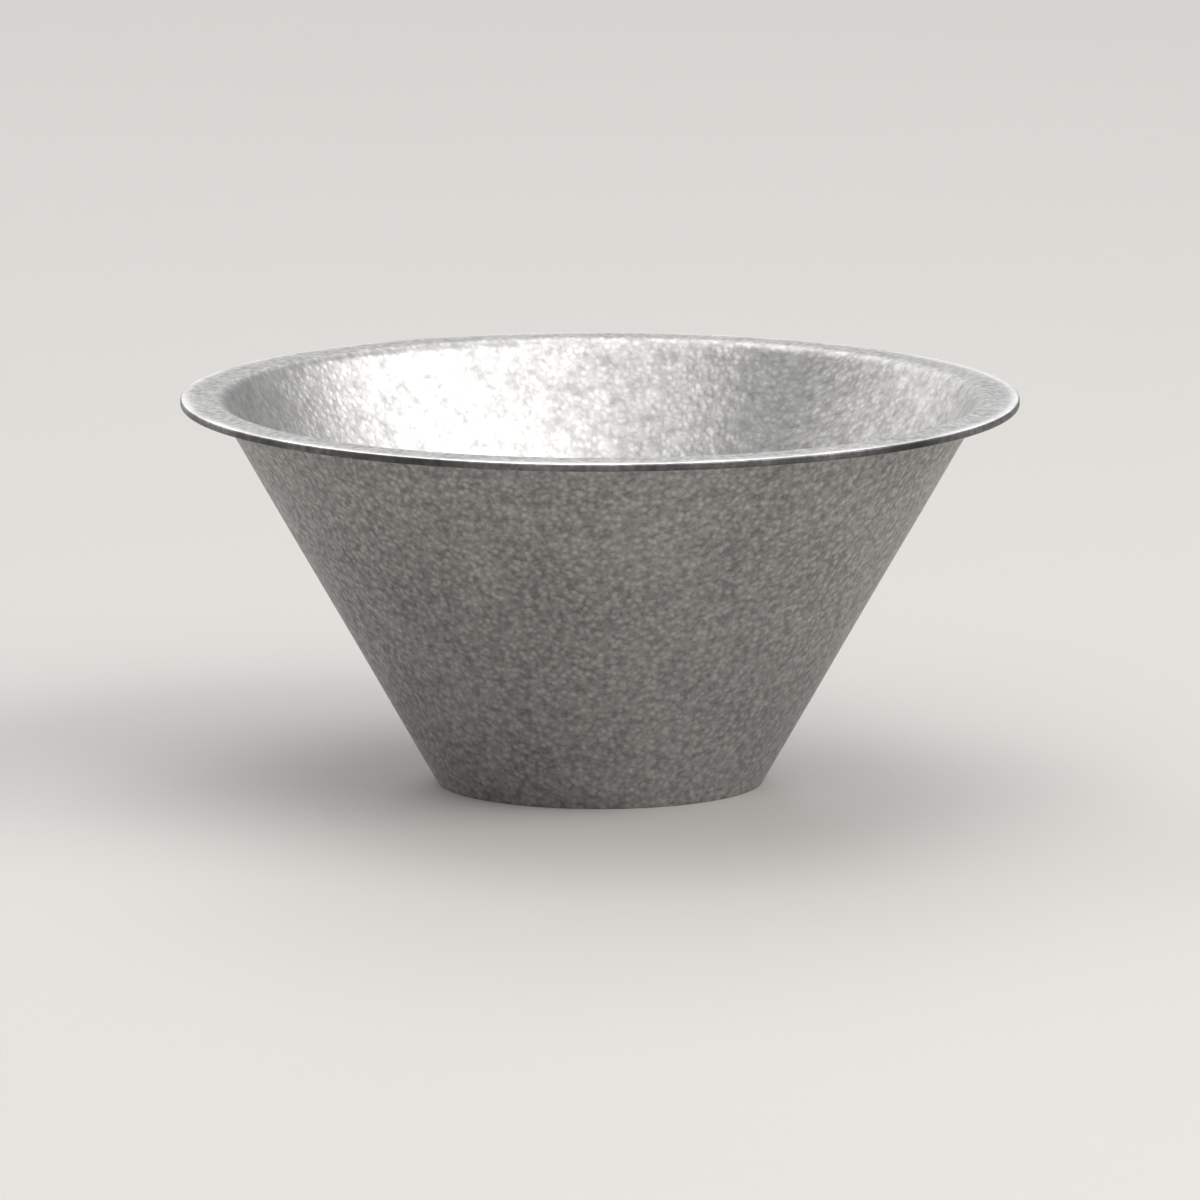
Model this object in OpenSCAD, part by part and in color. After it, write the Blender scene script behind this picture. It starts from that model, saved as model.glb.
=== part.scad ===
// Dosing funnel drawn from one round blank of sheet metal: a plain cone, open at
// both ends, whose wide end is turned out into a flat lip.
// Millimetres, +Z up. The origin is the centre of the foot, the small open end
// that the funnel stands on.

/* [Mouth] */
// Diameter across the lip
rim_d = 85; // [78:1:110]
// Width of the lip, from its edge to the outside of the cone
lip_w = 3.8; // [3:0.1:6]

/* [Cone] */
// Height from the foot to the top of the lip
height = 39.5; // [30:0.5:60]
// Diameter across the foot, measured outside
foot_d = 33; // [26:0.5:40]

/* [Sheet metal] */
// Thickness of the sheet
sheet_t = 0.8; // [0.6:0.1:1.2]
// Radius of the bend between cone and lip, on its hollow underside
bend_r = 0.8; // [0.6:0.1:1.5]
// Radius that deburring leaves on the lip's two edges
lip_edge_r = 0.25; // [0.1:0.05:0.25]
// Radius that deburring leaves on the foot's two edges
foot_edge_r = 0.15; // [0.05:0.05:0.15]

/* [Hidden] */
$fn = 180;
ARC_STEP = 7.5; // degrees between two points of a rounded corner

rim_r = rim_d / 2;
foot_r = foot_d / 2;
lip_under_z = height - sheet_t;
// The outside of the cone and the underside of the lip would meet here, unbent.
knee_r = rim_r - lip_w;
cone_angle = atan((knee_r - foot_r) / lip_under_z); // wall against the axis
// A level cut through the sloping sheet is wider than the sheet is thick.
cut_w = sheet_t / cos(cone_angle);
foot_inner_r = foot_r - cut_w;
mouth_inner_r = foot_inner_r + height * tan(cone_angle);

// Each corner of the wall's section is [r, z, corner radius], anticlockwise from
// the foot's outer edge. The two knee arcs share one centre, so the sheet keeps
// its thickness round the bend.
SECTION = [
    [foot_r, 0, foot_edge_r],
    [knee_r, lip_under_z, bend_r],
    [rim_r, lip_under_z, lip_edge_r],
    [rim_r, height, lip_edge_r],
    [mouth_inner_r, height, bend_r + sheet_t],
    [foot_inner_r, 0, foot_edge_r]
];

function unit(v) = v / norm(v);

function point(corner) = [corner[0], corner[1]];

// The turn from heading a to heading b, in degrees, positive anticlockwise.
function turn(a, b) = atan2(a[0] * b[1] - a[1] * b[0], a * b);

function rotated(v, angle) = [
    v[0] * cos(angle) - v[1] * sin(angle),
    v[0] * sin(angle) + v[1] * cos(angle)
];

// The arc that rounds a corner, as points from one straight side to the next.
function corner_arc(before, corner, after) =
    let (
        heading_in = unit(point(corner) - point(before)),
        heading_out = unit(point(after) - point(corner)),
        swing = turn(heading_in, heading_out),
        radius = corner[2],
        start = point(corner) - heading_in * radius * tan(abs(swing) / 2),
        centre = start + radius * rotated(heading_in, sign(swing) * 90),
        steps = ceil(abs(swing) / ARC_STEP)
    )
    [for (i = [0:steps]) centre + rotated(start - centre, swing * i / steps)];

function rounded(corners) =
    let (last = len(corners) - 1)
    [for (i = [0:last])
        each corner_arc(
            corners[i == 0 ? last : i - 1],
            corners[i],
            corners[i == last ? 0 : i + 1]
        )
    ];

// The whole funnel: foot, cone, bend and lip are one continuous sheet.
module funnel_body() {
    color("#a3a19d")
    rotate_extrude()
    polygon(rounded(SECTION));
}

funnel_body();
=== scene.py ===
"""The looks of the dosing funnel: one lathed sheet of bead-blasted steel on a pale floor."""
import math

import bpy
from mathutils import Matrix, Vector, noise


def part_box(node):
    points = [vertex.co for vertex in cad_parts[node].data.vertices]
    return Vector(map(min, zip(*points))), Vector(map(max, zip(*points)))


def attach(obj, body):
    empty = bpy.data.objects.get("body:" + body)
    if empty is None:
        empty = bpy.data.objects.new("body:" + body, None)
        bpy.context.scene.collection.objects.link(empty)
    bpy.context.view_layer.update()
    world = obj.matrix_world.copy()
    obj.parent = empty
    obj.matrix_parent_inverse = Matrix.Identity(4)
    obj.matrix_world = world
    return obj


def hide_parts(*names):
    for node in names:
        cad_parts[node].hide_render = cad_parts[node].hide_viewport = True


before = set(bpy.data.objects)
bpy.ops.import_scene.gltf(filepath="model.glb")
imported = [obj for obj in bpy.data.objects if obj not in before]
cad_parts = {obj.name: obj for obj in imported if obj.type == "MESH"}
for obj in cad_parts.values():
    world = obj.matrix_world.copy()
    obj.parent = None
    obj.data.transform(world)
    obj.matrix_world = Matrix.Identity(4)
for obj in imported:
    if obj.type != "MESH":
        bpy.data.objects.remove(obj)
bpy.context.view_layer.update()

MM = 0.001
NODE = "funnel_body"

# ---------------------------------------------------------------- the funnel's own sizes
low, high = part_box(NODE)
HEIGHT = high.z
RIM_R = (high.x - low.x) / 2
LIP_W = 3.8 * MM
FOOT_R = 16.5 * MM
SHEET = 0.8 * MM
BEND_R = 0.8 * MM
LIP_EDGE_R = 0.25 * MM
FOOT_EDGE_R = 0.15 * MM

KNEE_R = RIM_R - LIP_W
LIP_UNDER = HEIGHT - SHEET
SLOPE = (KNEE_R - FOOT_R) / LIP_UNDER
CUT_W = SHEET * math.hypot(1, SLOPE)  # the sloping wall on a level cut
FOOT_INNER_R = FOOT_R - CUT_W
MOUTH_INNER_R = FOOT_INNER_R + HEIGHT * SLOPE

# ---------------------------------------------------------------- how finely it is turned
SEGMENTS = 384
ARC_STEP = math.radians(11)
LONGEST_RUN = 0.9 * MM

# How far a pressed sheet strays from a perfect cone
OVAL = 0.05 * MM
OVAL_TURN = 0.7
LIP_DIP = 0.09 * MM
LIP_WAVES = 1.3
LIP_NOISE_LEVEL = 5.0
DENT = 0.035 * MM
DENT_SIZE = 11 * MM

# Heights and widths over which those faults fade out
FOOT_HOLDS = 8 * MM
DENT_RISE = 10 * MM
DENT_END = 4 * MM
BEND_REACH = 1 * MM

# How far from an edge the metal is rubbed bright and carries a painted highlight
WEAR_REACH = 1.0 * MM

# On the lip's rounded edge: how far below its top the painted highlight and the painted shade each
# fade, and how far in from its rim
WEAR_ENDS_BELOW = LIP_EDGE_R * 0.4
CUT_FULL_BELOW = LIP_EDGE_R * 0.3
ZONES_MEET_BELOW = LIP_EDGE_R * 0.05
CUT_ENDS_IN = LIP_EDGE_R * 0.6
CUT_FULL_IN = LIP_EDGE_R * 0.25

# Half the width of the soft line between the bowl's finish and the outside's
BOWL_BLEND = 0.1 * MM


# ---------------------------------------------------------------- camera
# A view slightly down into the mouth from two metres away, aimed a little below half height.
VIEW_ELEVATION = math.radians(9.05)
VIEW_DISTANCE = 1.98
SHOWN_WIDTH = 0.1215
AIM_SHARE = 0.47
SENSOR = 36.0


def make_camera():
    data = bpy.data.cameras.new("camera")
    data.sensor_width = SENSOR
    data.lens = SENSOR * VIEW_DISTANCE / SHOWN_WIDTH
    data.clip_start = 0.1
    data.clip_end = 20
    camera = bpy.data.objects.new("camera", data)
    bpy.context.scene.collection.objects.link(camera)
    mouth = Vector((0, 0, HEIGHT))
    back = Vector((0, -math.cos(VIEW_ELEVATION), math.sin(VIEW_ELEVATION)))
    camera.location = mouth + back * VIEW_DISTANCE
    aim = Vector((0, 0, HEIGHT * AIM_SHARE))
    camera.rotation_mode = "QUATERNION"
    camera.rotation_quaternion = (aim - camera.location).to_track_quat("-Z", "Y")
    bpy.context.scene.camera = camera


# ---------------------------------------------------------------- the sheet's section
def corner_arc(before, corner, after, radius):
    """Points (r, z) that round a corner of the section, from one straight side to the next."""
    into = (corner - before).normalized()
    out = (after - corner).normalized()
    swing = math.atan2(into.x * out.y - into.y * out.x, into.dot(out))
    start = corner - into * radius * math.tan(abs(swing) / 2)
    side = math.copysign(1, swing)
    centre = start + side * radius * Vector((-into.y, into.x))
    steps = max(2, math.ceil(abs(swing) / ARC_STEP))
    turns = [Matrix.Rotation(swing * i / steps, 2) for i in range(steps + 1)]
    return [centre + turn @ (start - centre) for turn in turns]


def straight(start, end):
    """Points between two arcs, close enough together to carry shallow dents."""
    runs = max(1, math.ceil((end - start).length / LONGEST_RUN))
    return [(start.lerp(end, i / runs), False) for i in range(1, runs)]


def section():
    """The wall's outline as (point, is_edge) pairs, anticlockwise from the foot's outer edge."""
    corners = [
        (Vector((FOOT_R, 0)), FOOT_EDGE_R),
        (Vector((KNEE_R, LIP_UNDER)), BEND_R),
        (Vector((RIM_R, LIP_UNDER)), LIP_EDGE_R),
        (Vector((RIM_R, HEIGHT)), LIP_EDGE_R),
        (Vector((MOUTH_INNER_R, HEIGHT)), BEND_R + SHEET),
        (Vector((FOOT_INNER_R, 0)), FOOT_EDGE_R),
    ]
    outline = []
    for i, (corner, radius) in enumerate(corners):
        before = corners[i - 1][0]
        after = corners[(i + 1) % len(corners)][0]
        is_edge = radius < BEND_R
        arc = corner_arc(before, corner, after, radius)
        if outline:
            outline += straight(outline[-1][0], arc[0])
        outline += [(point, is_edge) for point in arc]
    return outline


# ---------------------------------------------------------------- the sheet's small faults
def smooth(value, start, end):
    """0 up to start, 1 from end on, with a soft rise between them."""
    t = min(1.0, max(0.0, (value - start) / (end - start)))
    return t * t * (3 - 2 * t)


def strayed(point, angle):
    """Where a point of the perfect section really lies, all on the inside of the perfect box."""
    direction = Vector((math.cos(angle), math.sin(angle)))
    held_by_foot = smooth(point.y, 0, FOOT_HOLDS)
    oval = -OVAL * (0.5 - 0.5 * math.cos(2 * angle + OVAL_TURN)) * held_by_foot
    place = Vector((direction.x * point.x, direction.y * point.x, point.y)) / DENT_SIZE
    below_bend = 1 - smooth(point.x, KNEE_R - DENT_END, KNEE_R + BEND_REACH)
    middle = smooth(point.y, 0, DENT_RISE) * below_bend
    dent = DENT * noise.noise(place) * middle
    on_lip = smooth(point.x, KNEE_R - BEND_REACH, RIM_R)
    wave = noise.noise(Vector((direction.x, direction.y, LIP_NOISE_LEVEL)) * LIP_WAVES)
    dip = -LIP_DIP * (0.5 + 0.5 * wave) * on_lip
    r = point.x + oval + dent
    return Vector((direction.x * r, direction.y * r, point.y + dip - dent * SLOPE * middle))


# ---------------------------------------------------------------- the mesh
def make_funnel():
    """The section turned once round as one closed shell, with its wear, painted highlight and painted
    edge shade as point attributes.
    """
    outline = section()
    points = [point for point, _ in outline]
    edge_points = [point for point, is_edge in outline if is_edge]
    angles = [2 * math.pi * i / SEGMENTS for i in range(SEGMENTS)]
    verts = [strayed(point, angle) for angle in angles for point in points]
    mesh = bpy.data.meshes.new("funnel")
    mesh.from_pydata([tuple(v) for v in verts], [], turned_faces(len(points)))
    add_attribute(mesh, "rub_and_highlight", [rubbed_edge_and_highlight(point, edge_points) for point in points])
    add_attribute(mesh, "edge_shade_mask", [painted_edge_shade(point) for point in points])
    add_attribute(mesh, "bowl", [in_bowl(point) for point in points])
    mesh.polygons.foreach_set("use_smooth", [True] * len(mesh.polygons))
    mesh.update()
    funnel = bpy.data.objects.new("funnel", mesh)
    bpy.context.scene.collection.objects.link(funnel)
    return funnel


def turned_faces(count):
    """The quads between each copy of a closed outline of so many points and the next copy."""
    faces = []
    for i in range(SEGMENTS):
        here = i * count
        there = (i + 1) % SEGMENTS * count
        for j in range(count):
            k = (j + 1) % count
            faces.append((here + j, there + j, there + k, here + k))
    return faces


def add_attribute(mesh, name, around_outline):
    """Store one value per point of the outline on every copy of it."""
    attribute = mesh.attributes.new(name, "FLOAT", "POINT")
    attribute.data.foreach_set("value", around_outline * SEGMENTS)


def rubbed_edge_and_highlight(point, edge_points):
    """1 where hands and shelves rub the lip bright, plus a painted highlight: its upper edge. It fades
    out within WEAR_REACH.
    """
    nearest = min((point - other).length for other in edge_points)
    near_edge = 1 - smooth(nearest, 0, WEAR_REACH)
    return near_edge * smooth(point.y, HEIGHT - WEAR_ENDS_BELOW, HEIGHT - ZONES_MEET_BELOW)


def painted_edge_shade(point):
    """1 on the lip's sheared edge, which faces outwards and is painted with shade, darker than the
    blasted faces.
    """
    outer = smooth(point.x, RIM_R - CUT_ENDS_IN, RIM_R - CUT_FULL_IN)
    return outer * (1 - smooth(point.y, HEIGHT - CUT_FULL_BELOW, HEIGHT - ZONES_MEET_BELOW))


def in_bowl(point):
    """1 on the inside of the cone, where what is poured through has rubbed the grain even."""
    wall_middle = (FOOT_R + FOOT_INNER_R) / 2 + point.y * SLOPE
    return 1 - smooth(point.x - wall_middle, -BOWL_BLEND, BOWL_BLEND)


# ---------------------------------------------------------------- materials
class Nodes:
    """Short names for the few kinds of shader node that the materials use."""

    def __init__(self, material):
        material.use_nodes = True
        self.tree = material.node_tree
        self.shader = self.tree.nodes["Principled BSDF"]
        self.place = self.tree.nodes.new("ShaderNodeTexCoord").outputs["Object"]

    def link(self, source, socket):
        self.tree.links.new(source, socket)

    def noise(self, scale, detail=2.0, roughness=0.5):
        node = self.tree.nodes.new("ShaderNodeTexNoise")
        node.inputs["Scale"].default_value = scale
        node.inputs["Detail"].default_value = detail
        node.inputs["Roughness"].default_value = roughness
        self.link(self.place, node.inputs["Vector"])
        return node.outputs["Fac"]

    def cells(self, scale):
        """Distance from the nearest of many scattered points."""
        node = self.tree.nodes.new("ShaderNodeTexVoronoi")
        node.inputs["Scale"].default_value = scale
        self.link(self.place, node.inputs["Vector"])
        return node.outputs["Distance"]

    def attribute(self, name):
        """A value that the mesh stores at its points."""
        node = self.tree.nodes.new("ShaderNodeAttribute")
        node.attribute_name = name
        return node.outputs["Fac"]

    def spread(self, value, low, high, to_low, to_high):
        """The range from low to high stretched to run from to_low to to_high."""
        node = self.tree.nodes.new("ShaderNodeMapRange")
        node.inputs["From Min"].default_value = low
        node.inputs["From Max"].default_value = high
        node.inputs["To Min"].default_value = to_low
        node.inputs["To Max"].default_value = to_high
        self.link(value, node.inputs["Value"])
        return node.outputs["Result"]

    def maths(self, operation, a, b):
        node = self.tree.nodes.new("ShaderNodeMath")
        node.operation = operation
        for socket, value in zip(node.inputs, (a, b)):
            if isinstance(value, (int, float)):
                socket.default_value = value
            else:
                self.link(value, socket)
        return node.outputs["Value"]

    def weighted(self, a, weight_a, b, weight_b):
        part_a = self.maths("MULTIPLY", a, weight_a)
        part_b = self.maths("MULTIPLY", b, weight_b)
        return self.maths("ADD", part_a, part_b)

    def mix(self, factor, a, b):
        """Colour a at 0, colour b at 1."""
        node = self.tree.nodes.new("ShaderNodeMix")
        node.data_type = "RGBA"
        factor_in, a_in, b_in, colour_out = 0, 6, 7, 2
        self.link(factor, node.inputs[factor_in])
        for socket, value in zip((node.inputs[a_in], node.inputs[b_in]), (a, b)):
            if isinstance(value, tuple):
                socket.default_value = (*value, 1.0)
            else:
                self.link(value, socket)
        return node.outputs[colour_out]

    def bump(self, height, strength, distance, normal=None):
        node = self.tree.nodes.new("ShaderNodeBump")
        node.inputs["Strength"].default_value = strength
        node.inputs["Distance"].default_value = distance
        self.link(height, node.inputs["Height"])
        if normal is not None:
            self.link(normal, node.inputs["Normal"])
        return node.outputs["Normal"]


STEEL_DARK = (0.15, 0.147, 0.143)
STEEL_LIGHT = (0.548, 0.536, 0.522)
# Rubbed steel with a painted highlight, brighter than steel really reflects
STEEL_RUBBED_AND_HIGHLIGHT = (0.80, 0.79, 0.78)
# Painted shade: the lip's outer cut edge is painted nearly black
PAINTED_EDGE_SHADE = (0.045, 0.044, 0.043)
FLOOR_DARK = (0.318, 0.304, 0.286)
FLOOR_LIGHT = (0.330, 0.317, 0.298)

# How many features of each kind there are along a metre
PITS = 1380
COARSE_GRAIN = 1150
FINE_GRAIN = 2900
MOTTLE = 560
PATCHES = 95
CLOUDS = 28
FLOOR_CLOUDS = 6

# The most that each kind adds to the tone, which is STEEL_DARK at 0 and STEEL_LIGHT at 1
PIT_SHARE = 0.44
COARSE_SHARE = 0.35
FINE_SHARE = 0.21
PATCH_SHARE = 0.6
CLOUD_SHARE = 0.4
SPECKLE_SHARE = 0.78

# In the bowl: how much of that tone is left, and the least and most that the mottle adds to it
BOWL_SHARE = 0.55
SMEAR_LOW = 0.15
SMEAR_HIGH = 0.33

# How deep each kind of relief is
MOTTLE_DEPTH = 0.18 * MM
PIT_DEPTH = 0.05 * MM
GRAIN_DEPTH = 0.03 * MM

ROUGH_DARK = 0.54
ROUGH_LIGHT = 0.40
WEAR_SMOOTHS = 0.12
FLOOR_ROUGH = 0.55


def steel_tone(n, pits, grain, mottle, patches):
    """0 where the steel is darkest and 1 where it is lightest.

    Outside, light pits stand in an uneven grain. In the bowl the grain is more even, with a mottle.
    Noise seldom leaves 0.3 to 0.7, so that part of it is spread over each share.
    """
    coarse = n.spread(n.noise(COARSE_GRAIN, detail=1), 0.33, 0.67, 0, COARSE_SHARE)
    fine = n.spread(grain, 0.32, 0.68, 0, FINE_SHARE)
    speckle = n.maths("ADD", n.maths("MULTIPLY", pits, PIT_SHARE), n.maths("ADD", coarse, fine))
    patch = n.spread(patches, 0.3, 0.7, 0, PATCH_SHARE)
    broad = n.spread(n.noise(CLOUDS), 0.3, 0.7, 0, CLOUD_SHARE)
    cloud = n.maths("ADD", patch, broad)
    outside = n.weighted(speckle, SPECKLE_SHARE, cloud, 1 - SPECKLE_SHARE)
    smear = n.spread(mottle, 0.33, 0.67, SMEAR_LOW, SMEAR_HIGH)
    inside = n.maths("ADD", n.maths("MULTIPLY", outside, BOWL_SHARE), smear)
    bowl = n.attribute("bowl")
    return n.weighted(outside, n.maths("SUBTRACT", 1, bowl), inside, bowl)


def blasted_steel():
    """Bead-blasted stainless steel with a rubbed upper lip edge under a painted highlight, and painted
    shade on the cut edge.
    """
    material = bpy.data.materials.new("blasted_steel")
    n = Nodes(material)
    pits = n.spread(n.cells(PITS), 0.10, 0.60, 1.0, 0.0)  # 1 at the middle of each pit
    grain = n.noise(FINE_GRAIN, detail=1)
    mottle = n.noise(MOTTLE, detail=1.5)
    patches = n.noise(PATCHES, detail=4, roughness=0.62)
    tone = steel_tone(n, pits, grain, mottle, patches)
    # Rubbed brightness and a painted highlight along the lip's upper outer edge
    rub_and_highlight = n.maths("MULTIPLY", n.attribute("rub_and_highlight"), n.spread(patches, 0.35, 0.6, 0.35, 1.0))
    # Painted shade on the lip's outer cut edge
    cut = n.maths("MULTIPLY", n.attribute("edge_shade_mask"), n.spread(patches, 0.3, 0.62, 1.0, 0.55))
    colour = n.mix(tone, STEEL_DARK, STEEL_LIGHT)
    colour = n.mix(rub_and_highlight, colour, STEEL_RUBBED_AND_HIGHLIGHT)
    n.link(n.mix(cut, colour, PAINTED_EDGE_SHADE), n.shader.inputs["Base Color"])
    rough = n.spread(tone, 0.0, 1.0, ROUGH_DARK, ROUGH_LIGHT)
    smoother = n.maths("MULTIPLY", rub_and_highlight, WEAR_SMOOTHS)
    n.link(n.maths("SUBTRACT", rough, smoother), n.shader.inputs["Roughness"])
    relief = n.bump(mottle, 0.5, MOTTLE_DEPTH)
    relief = n.bump(pits, 0.5, PIT_DEPTH, relief)
    relief = n.bump(grain, 0.6, GRAIN_DEPTH, relief)
    n.link(relief, n.shader.inputs["Normal"])
    n.shader.inputs["Metallic"].default_value = 1.0
    return material


def pale_floor():
    """A plain matt floor with barely visible clouds. Strong light makes its mid grey look pale."""
    material = bpy.data.materials.new("pale_floor")
    n = Nodes(material)
    cloud = n.noise(FLOOR_CLOUDS, detail=3)
    n.link(n.mix(cloud, FLOOR_DARK, FLOOR_LIGHT), n.shader.inputs["Base Color"])
    n.shader.inputs["Roughness"].default_value = FLOOR_ROUGH
    return material


# ---------------------------------------------------------------- studio
FLOOR_HALF = 4.0
SKY_COLOUR = (0.93, 0.96, 1.0, 1)
SKY_STRENGTH = 0.44


def make_floor():
    mesh = bpy.data.meshes.new("floor")
    corners = [(-FLOOR_HALF, -FLOOR_HALF, 0), (FLOOR_HALF, -FLOOR_HALF, 0),
               (FLOOR_HALF, FLOOR_HALF, 0), (-FLOOR_HALF, FLOOR_HALF, 0)]
    mesh.from_pydata(corners, [], [(0, 1, 2, 3)])
    mesh.materials.append(pale_floor())
    floor = bpy.data.objects.new("floor", mesh)
    bpy.context.scene.collection.objects.link(floor)


def softbox(name, azimuth, elevation, distance, size, power):
    """A square lamp that faces the funnel. Azimuth 0 is the camera's side and 90 is to its right."""
    data = bpy.data.lights.new(name, "AREA")
    data.size = size
    data.energy = power
    lamp = bpy.data.objects.new(name, data)
    bpy.context.scene.collection.objects.link(lamp)
    a = math.radians(azimuth)
    e = math.radians(elevation)
    away = Vector((math.sin(a) * math.cos(e), -math.cos(a) * math.cos(e), math.sin(e)))
    lamp.location = away * distance
    lamp.rotation_mode = "QUATERNION"
    lamp.rotation_quaternion = (-away).to_track_quat("-Z", "Y")


def make_lights():
    """Six square lamps all round the funnel and a dim, slightly cool sky."""
    softbox("key", azimuth=46, elevation=42, distance=1.4, size=0.9, power=12.5)
    softbox("side", azimuth=84, elevation=36, distance=1.4, size=0.9, power=12)
    softbox("front", azimuth=-10, elevation=53, distance=1.4, size=1.2, power=10)
    softbox("back_left", azimuth=-125, elevation=26, distance=1.5, size=1.3, power=11)
    softbox("back", azimuth=-172, elevation=46, distance=1.6, size=1.4, power=9)
    softbox("top", azimuth=-172, elevation=80, distance=1.4, size=1.0, power=10)
    world = bpy.data.worlds.new("studio")
    world.use_nodes = True
    background = world.node_tree.nodes["Background"]
    background.inputs["Color"].default_value = SKY_COLOUR
    background.inputs["Strength"].default_value = SKY_STRENGTH
    bpy.context.scene.world = world


# ---------------------------------------------------------------- put together
make_camera()
make_floor()
make_lights()
bpy.context.scene.view_settings.view_transform = "Standard"

funnel = make_funnel()
funnel.data.materials.append(blasted_steel())
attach(funnel, "root")
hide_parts(NODE)
